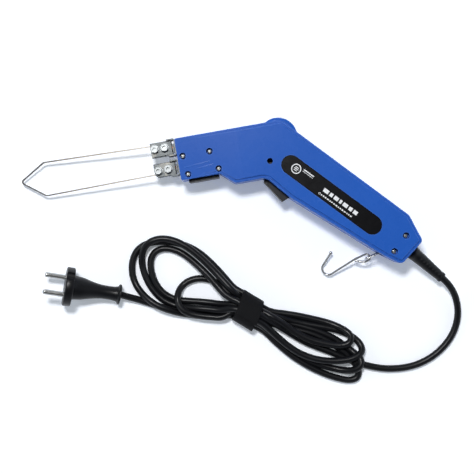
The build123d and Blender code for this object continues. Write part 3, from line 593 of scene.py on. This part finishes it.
def plug_shape(angle, radius, height):
    """The grip has a shallow finger hollow on each side of the pins' line."""
    h = height / MM
    hollow = 0.0
    if HOLLOW_START < h < HOLLOW_END:
        hollow = HOLLOW_DEPTH * math.sin(math.pi * min(1, (h - HOLLOW_START) / HOLLOW_RISE) / 2)
    return radius * (1 - hollow * math.cos(angle) ** 2)


def make_plug():
    bm = bmesh.new()
    place = plug_frame()
    collar = [(0, 0), (8.9, 0), (9.3, 0.3), (9.5, 0.9), (9.3, 1.8), (8.4, 2.5), (7.3, 3.0)]
    grip = [
        (6.85, 4.2), (6.5, 7), (6.3, 11), (6.35, 15), (6.6, 19), (7.1, 22.5), (7.9, 26), (9.0, 30),
        (10.1, 33.5), (10.9, 37), (11.3, 41), (11.4, 44),
    ]
    flange = [
        (11.9, 44.2), (17.0, 44.4), (17.7, 44.8), (18.0, 45.6), (18.0, 50.8), (17.7, 51.6), (17.0, 52),
        (0, 52),
    ]
    profile = [(r * MM, h * MM) for r, h in collar + grip + flange]
    add_lathe(bm, profile, 96, place, plug_shape)
    plastic = MATERIALS["plug_plastic"]
    body = new_piece("plug_moulding", bm, plastic, "tool", 40, ("plug_body",))
    cutters = bmesh.new()
    # notches in the flange's rim
    for side in (-1, 1):
        add_prism(cutters, circle(4.6 * MM, 40, (side * 19.4 * MM, 0)), 40 * MM, 60 * MM, place)
    # sockets that the pins stand in
    for side in (-1, 1):
        hole = circle(2.05 * MM, 32, (0, side * PIN_PITCH / 2 * MM))
        add_prism(cutters, hole, 45.2 * MM, 60 * MM, place)
    cut_with(body, cutters)
    return body


def cut_with(piece, cutters):
    """Cuts the closed solids in cutters out of the piece's mesh."""
    bmesh.ops.recalc_face_normals(cutters, faces=cutters.faces)
    mesh = bpy.data.meshes.new("cutter")
    cutters.to_mesh(mesh)
    cutters.free()
    cutter = bpy.data.objects.new("cutter", mesh)
    scene.collection.objects.link(cutter)
    modifier = piece.modifiers.new("cut", "BOOLEAN")
    modifier.operation = "DIFFERENCE"
    modifier.solver = "EXACT"
    modifier.use_self = True
    modifier.object = cutter
    apply_modifiers(piece)
    bpy.data.objects.remove(cutter)
    smooth_by_angle(piece, 40)


def apply_modifiers(piece):
    """Puts what the modifiers give into the piece's own mesh."""
    bpy.context.view_layer.update()
    graph = bpy.context.evaluated_depsgraph_get()
    mesh = bpy.data.meshes.new_from_object(piece.evaluated_get(graph))
    piece.modifiers.clear()
    piece.data = mesh


plug_moulding = make_plug()


# ---------------------------------------------------------------- the hank's tie: a strap with a folded end
STRAP_W = 21.0
STRAP_SLANT = 0.28  # how far it leans along the tie for each millimetre across
STRAP_T = 1.3
STRAP_TURNS = 1.34
STRAP_START = 0.13  # where its inner end lies, as a part of a turn
LAP_RISE = 0.05  # the part of a turn in which it climbs onto itself
LAP_GAP = 0.15
BUNDLE_W = 26.0
BUNDLE_H = 17.6
BUNDLE_CORNER = 7.5
LOW_CORNER = 0.6  # the lower corners' radius, as a part of the upper ones'


def strap_section(t, grow):
    """A point of the strap's path round the bundle. t runs from 0 to 1, and grow moves it outwards."""
    half_w = BUNDLE_W / 2 + grow
    height = BUNDLE_H + STRAP_T + grow
    low = STRAP_T - grow
    radius = BUNDLE_CORNER + grow
    corners = [
        (half_w, low, -90, radius * LOW_CORNER), (half_w, height, 0, radius), (-half_w, height, 90, radius),
        (-half_w, low, 180, radius * LOW_CORNER),
    ]
    steps = 8
    path = []
    for x, z, start, r in corners:
        cx = x - math.copysign(r, x)
        cz = z - r if z > low else z + r
        for i in range(steps + 1):
            angle = math.radians(start + 90 * i / steps)
            path.append((cx + r * math.cos(angle), cz + r * math.sin(angle)))
    path.append(path[0])
    lengths = [0]
    for a, b in zip(path, path[1:]):
        lengths.append(lengths[-1] + math.dist(a, b))
    wanted = t * lengths[-1]
    for i in range(len(path) - 1):
        if wanted <= lengths[i + 1] or i == len(path) - 2:
            f = (wanted - lengths[i]) / max(1e-9, lengths[i + 1] - lengths[i])
            return tuple(a + (b - a) * f for a, b in zip(path[i], path[i + 1]))


def make_tie():
    """A flat strap wound round the bundle, a little aslant and with its end lapped over itself."""
    bm = bmesh.new()
    rings = 120
    columns = [-1.0, -0.94, -0.5, 0.0, 0.5, 0.94, 1.0]
    inner_rows, outer_rows = [], []
    for i in range(rings + 1):
        t = i / rings * STRAP_TURNS
        lap = max(0.0, min(1.0, (t - 1.0) / LAP_RISE))
        lap = lap * lap * (3 - 2 * lap)
        base = lap * (STRAP_T + LAP_GAP)
        wrap = (STRAP_START + t) % 1.0
        skew = 1.6 * math.sin(2 * math.pi * wrap) + lap * 1.4
        inner, outer = [], []
        for c in columns:
            sag = -0.35 * (1 - c * c)
            for row, grow in ((inner, 0.05 + base), (outer, STRAP_T + base)):
                edge = 0.18 if abs(c) == 1.0 and row is outer else 0.0
                y, z = strap_section(wrap, grow + sag * 0.4 - edge)
                along = c * STRAP_W / 2 + skew - STRAP_SLANT * y
                row.append(bm.verts.new(Vector(tie_point(along, y, max(z, 0.02))) * MM))
        inner_rows.append(inner)
        outer_rows.append(outer)
    last = len(columns) - 1
    for i in range(rings):
        inner, inner_next = inner_rows[i], inner_rows[i + 1]
        outer, outer_next = outer_rows[i], outer_rows[i + 1]
        for j in range(last):
            bm.faces.new((outer[j], outer[j + 1], outer_next[j + 1], outer_next[j]))
            bm.faces.new((inner[j], inner_next[j], inner_next[j + 1], inner[j + 1]))
        for j in (0, last):
            bm.faces.new((inner[j], outer[j], outer_next[j], inner_next[j]))
    for i in (0, rings):
        for j in range(last):
            bm.faces.new((inner_rows[i][j], inner_rows[i][j + 1], outer_rows[i][j + 1], outer_rows[i][j]))
    return new_piece("tie_strap", bm, MATERIALS["strap_fabric"], "tool", 50, ("hank_tie",))


tie_strap = make_tie()


# ---------------------------------------------------------------- strain relief with faint grooves and a lip
BOOT_AT = Vector((111.6, -114.2, 20))
BOOT_HEADING = math.radians(-50)
BOOT_DROOP = math.radians(9.5)
BOOT_GROOVES = 7
GROOVE_STEP = 3.7


def make_boot():
    """A tapered boot: its flange inside the body, a collar, the grooved taper and the lip round the cord."""
    flat = math.cos(BOOT_DROOP)
    axis = Vector((math.cos(BOOT_HEADING) * flat, math.sin(BOOT_HEADING) * flat, -math.sin(BOOT_DROOP)))
    place = Matrix.Translation(BOOT_AT * MM) @ axis.to_track_quat("Z", "Y").to_matrix().to_4x4()
    profile = [(0, -8.8), (8.0, -8.8), (8.0, -5.4), (5.5, -5.4), (5.5, 1.2)]
    profile += [(6.2, 1.2), (6.5, 1.5), (6.5, 4.0), (6.2, 4.6)]
    for i in range(BOOT_GROOVES):
        h = 7.0 + i * GROOVE_STEP
        r = 6.1 - 1.5 * (h - 5) / 30
        profile += [(r, h), (r - 0.07, h + 2.5)]
        profile += [(r - 0.22, h + 2.7), (r - 0.22, h + 3.1), (r - 0.12, h + 3.3)]
    profile += [(4.55, 34.0), (4.5, 35.8), (4.8, 36.1), (4.9, 36.5), (4.9, 38.0), (4.7, 38.5)]
    profile += [(3.3, 38.5), (3.3, 37.5), (0, 37.5)]
    bm = bmesh.new()
    add_lathe(bm, [(r * MM, h * MM) for r, h in profile], 48, place)
    skin = MATERIALS["cord_rubber"]
    return new_piece("boot_ribbed", bm, skin, "tool", 32, ("strain_relief_boot",))


make_boot()


# ---------------------------------------------------------------- label: abstract marks in place of any print
LABEL_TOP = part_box("label_plate")[1].z
LABEL_START = Vector((15.4, -17.8, 0))
BLOCK_WIDTHS = [5.4, 3.2, 4.6, 2.4, 5.0, 3.6, 4.2]
BLOCK_GAP = 1.5
DASHES = 15
DASH_GAP = 0.8
DASH_LINE = -5.3


def make_label_marks():
    """Plain bars and rings, printed on the label, that say nothing.
    s runs along the handle and t across it, in millimetres."""
    bm = bmesh.new()
    place = Matrix.Translation(LABEL_START * MM) @ Matrix.Rotation(math.radians(HANDLE_DEG), 4, "Z")
    low, high = LABEL_TOP - 0.02 * MM, LABEL_TOP + 0.06 * MM

    def bar(s, t, length, width):
        corners = [(-length, -width), (length, -width), (length, width), (-length, width)]
        add_prism(bm, [((s + x / 2) * MM, (t + y / 2) * MM) for x, y in corners], low, high, place)

    def ring(s, t, outer, inner, steps):
        centre = (s * MM, t * MM)
        rows = []
        for radius, z in ((outer, low), (outer, high), (inner, high), (inner, low)):
            outline = circle(radius * MM, steps, centre)
            rows.append([bm.verts.new(place @ Vector((x, y, z))) for x, y in outline])
        for a in range(4):
            b = (a + 1) % 4
            for i in range(steps):
                j = (i + 1) % steps
                bm.faces.new((rows[a][i], rows[a][j], rows[b][j], rows[b][i]))

    ring(6.0, 0.0, 4.6, 3.7, 40)
    for t, length in ((1.5, 3.4), (0.0, 4.4), (-1.5, 3.4)):
        bar(6.0, t, length, 0.75)
    bar(17.5, 3.6, 11.0, 1.0)
    bar(17.5, 1.9, 11.0, 0.45)
    s = 37.0
    for width in BLOCK_WIDTHS:
        bar(s + width / 2, -0.2, width, 3.5)
        s += width + BLOCK_GAP
    ring(36.0, DASH_LINE, 0.95, 0.6, 24)
    s = 37.8
    for i in range(DASHES):
        width = 1.1 + 0.9 * ((i * 5) % 4) / 3
        bar(s + width / 2, DASH_LINE, width, 1.15)
        s += width + DASH_GAP
    return new_piece("label_marks", bm, PRINT, "tool", 30)


make_label_marks()


# ---------------------------------------------------------------- the nose's two low ribs
NOSE_FALL_FROM = -28.0  # the nose's top falls from here
NOSE_SLOPE = 3.0 / (84.3 + NOSE_FALL_FROM)
NOSE_RIBS = [((-80.0, -3.4), (-56.0, -1.6)), ((-69.0, -6.4), (-53.0, -4.9))]


def make_nose_ribs():
    """Low ribs that lie on the sloping top of the nose, between its screws."""
    bm = bmesh.new()
    for (x0, y0), (x1, y1) in NOSE_RIBS:
        x, y = (x0 + x1) / 2, (y0 + y1) / 2
        length = math.dist((x0, y0), (x1, y1))
        heading = math.atan2(y1 - y0, x1 - x0)
        top = THICKNESS / MM - NOSE_SLOPE * (NOSE_FALL_FROM - x)
        place = (
            Matrix.Translation(Vector((x, y, top)) * MM) @ Matrix.Rotation(heading, 4, "Z")
            @ Matrix.Rotation(-math.atan(NOSE_SLOPE), 4, "Y")
        )
        add_prism(bm, rounded_box(length * MM, 1.1 * MM, 0.5 * MM), -0.4 * MM, 0.22 * MM, place, 0.12 * MM)
    return new_piece("nose_ribs", bm, MATERIALS["blue_plastic"], "tool", 35)


make_nose_ribs()


# ---------------------------------------------------------------- cross-slotted heads of the body's screws
NOSE_SCREWS = [(-79.3, 7.0), (-54.8, 7.1), (-77.3, -10.0), (-49.2, -9.8)]
REAR_SCREWS = [(106.7, -98.8), (93.9, -111.0)]


def make_screws(name, node, places, head_z):
    """Pan heads with a cross slot, on shanks that start where the node's screws do."""
    start_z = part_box(node)[0].z
    bm = bmesh.new()
    head = [(1.5, -1.9), (1.95, -1.7), (2.0, -0.9), (1.75, -0.3), (1.2, -0.05), (0, 0)]
    profile = [(0, start_z), (1.5 * MM, start_z)] + [(r * MM, head_z + drop * MM) for r, drop in head]
    for x, y in places:
        add_lathe(bm, profile, 40, Matrix.Translation(Vector((x, y, 0)) * MM))
    piece = new_piece(name, bm, MATERIALS["screw_steel"], "tool", 30, (node,))
    slots = bmesh.new()
    for i, (x, y) in enumerate(places):
        for turn in (0.4 + i, 0.4 + i + math.pi / 2):
            place = Matrix.Translation(Vector((x, y, 0)) * MM) @ Matrix.Rotation(turn, 4, "Z")
            # no two slots are quite alike, so that no faces of crossing cutters coincide
            length = 2 * (1.35 + 0.01 * turn) * MM
            bottom = head_z - (0.95 + 0.01 * turn) * MM
            add_prism(slots, rounded_box(length, 0.55 * MM, 0.1 * MM), bottom, head_z + MM, place)
    cut_with(piece, slots)
    return piece


make_screws("nose_screw_heads", "nose_screws", NOSE_SCREWS, THICKNESS - 3.4 * MM)
make_screws("rear_screw_heads", "rear_screws", REAR_SCREWS, THICKNESS - 4.6 * MM)


# ---------------------------------------------------------------- stage and light
STAGE_CENTRE = (-0.04, -0.07)
LIGHT_TARGET = Vector((-0.04, -0.08, 0))
LIGHT_DISTANCE = 1.9
FILL_COLOUR = (0.80, 0.90, 1.0)


def make_floor():
    """A white floor with a weak glow of its own, just under the object."""
    bm = bmesh.new()
    bmesh.ops.create_grid(bm, x_segments=1, y_segments=1, size=3.0)
    mesh = bpy.data.meshes.new("floor")
    bm.to_mesh(mesh)
    bm.free()
    floor = bpy.data.objects.new("floor", mesh)
    floor.location = (*STAGE_CENTRE, -0.2 * MM)
    scene.collection.objects.link(floor)
    material = bpy.data.materials.new("floor_white")
    material.use_nodes = True
    shader = material.node_tree.nodes["Principled BSDF"]
    shader.inputs["Base Color"].default_value = (0.93, 0.95, 1.0, 1)
    shader.inputs["Roughness"].default_value = 0.6
    shader.inputs["Specular IOR Level"].default_value = 0.1
    shader.inputs["Emission Color"].default_value = (0.90, 0.96, 1.0, 1)
    shader.inputs["Emission Strength"].default_value = 0.2
    mesh.materials.append(material)


def area_light(name, size, power, direction, colour=(1, 1, 1)):
    """A rectangular light that looks at the object from a direction."""
    data = bpy.data.lights.new(name, "AREA")
    data.shape = "RECTANGLE"
    data.size, data.size_y = size
    data.energy = power
    data.color = colour
    light = bpy.data.objects.new(name, data)
    light.location = LIGHT_TARGET + direction.normalized() * LIGHT_DISTANCE
    light.rotation_euler = (LIGHT_TARGET - light.location).to_track_quat("-Z", "Y").to_euler()
    scene.collection.objects.link(light)


make_floor()
area_light("key", (0.34, 0.26), 26, image_direction(-0.12, 0.33, 1.0))
area_light("fill_left", (1.4, 1.0), 4.5, image_direction(-1.0, -0.2, 0.55), FILL_COLOUR)
area_light("fill_right", (1.4, 1.0), 4, image_direction(1.0, 0.0, 0.55), FILL_COLOUR)


def make_world():
    """Bright round the horizon and dark overhead, so that flat black surfaces stay black from above."""
    world = bpy.data.worlds.new("world")
    scene.world = world
    world.use_nodes = True
    tree = world.node_tree
    background = tree.nodes["Background"]
    coordinates = tree.nodes.new("ShaderNodeTexCoord")
    split = tree.nodes.new("ShaderNodeSeparateXYZ")
    strength = tree.nodes.new("ShaderNodeMapRange")
    strength.interpolation_type = "SMOOTHSTEP"
    strength.inputs["From Min"].default_value = 0.05
    strength.inputs["From Max"].default_value = 0.85
    strength.inputs["To Min"].default_value = 1.0
    strength.inputs["To Max"].default_value = 0.05
    tree.links.new(coordinates.outputs["Generated"], split.inputs["Vector"])
    tree.links.new(split.outputs["Z"], strength.inputs["Value"])
    tree.links.new(strength.outputs["Result"], background.inputs["Strength"])
    background.inputs["Color"].default_value = (0.86, 0.92, 1.0, 1)


make_world()
scene.view_settings.view_transform = "Standard"
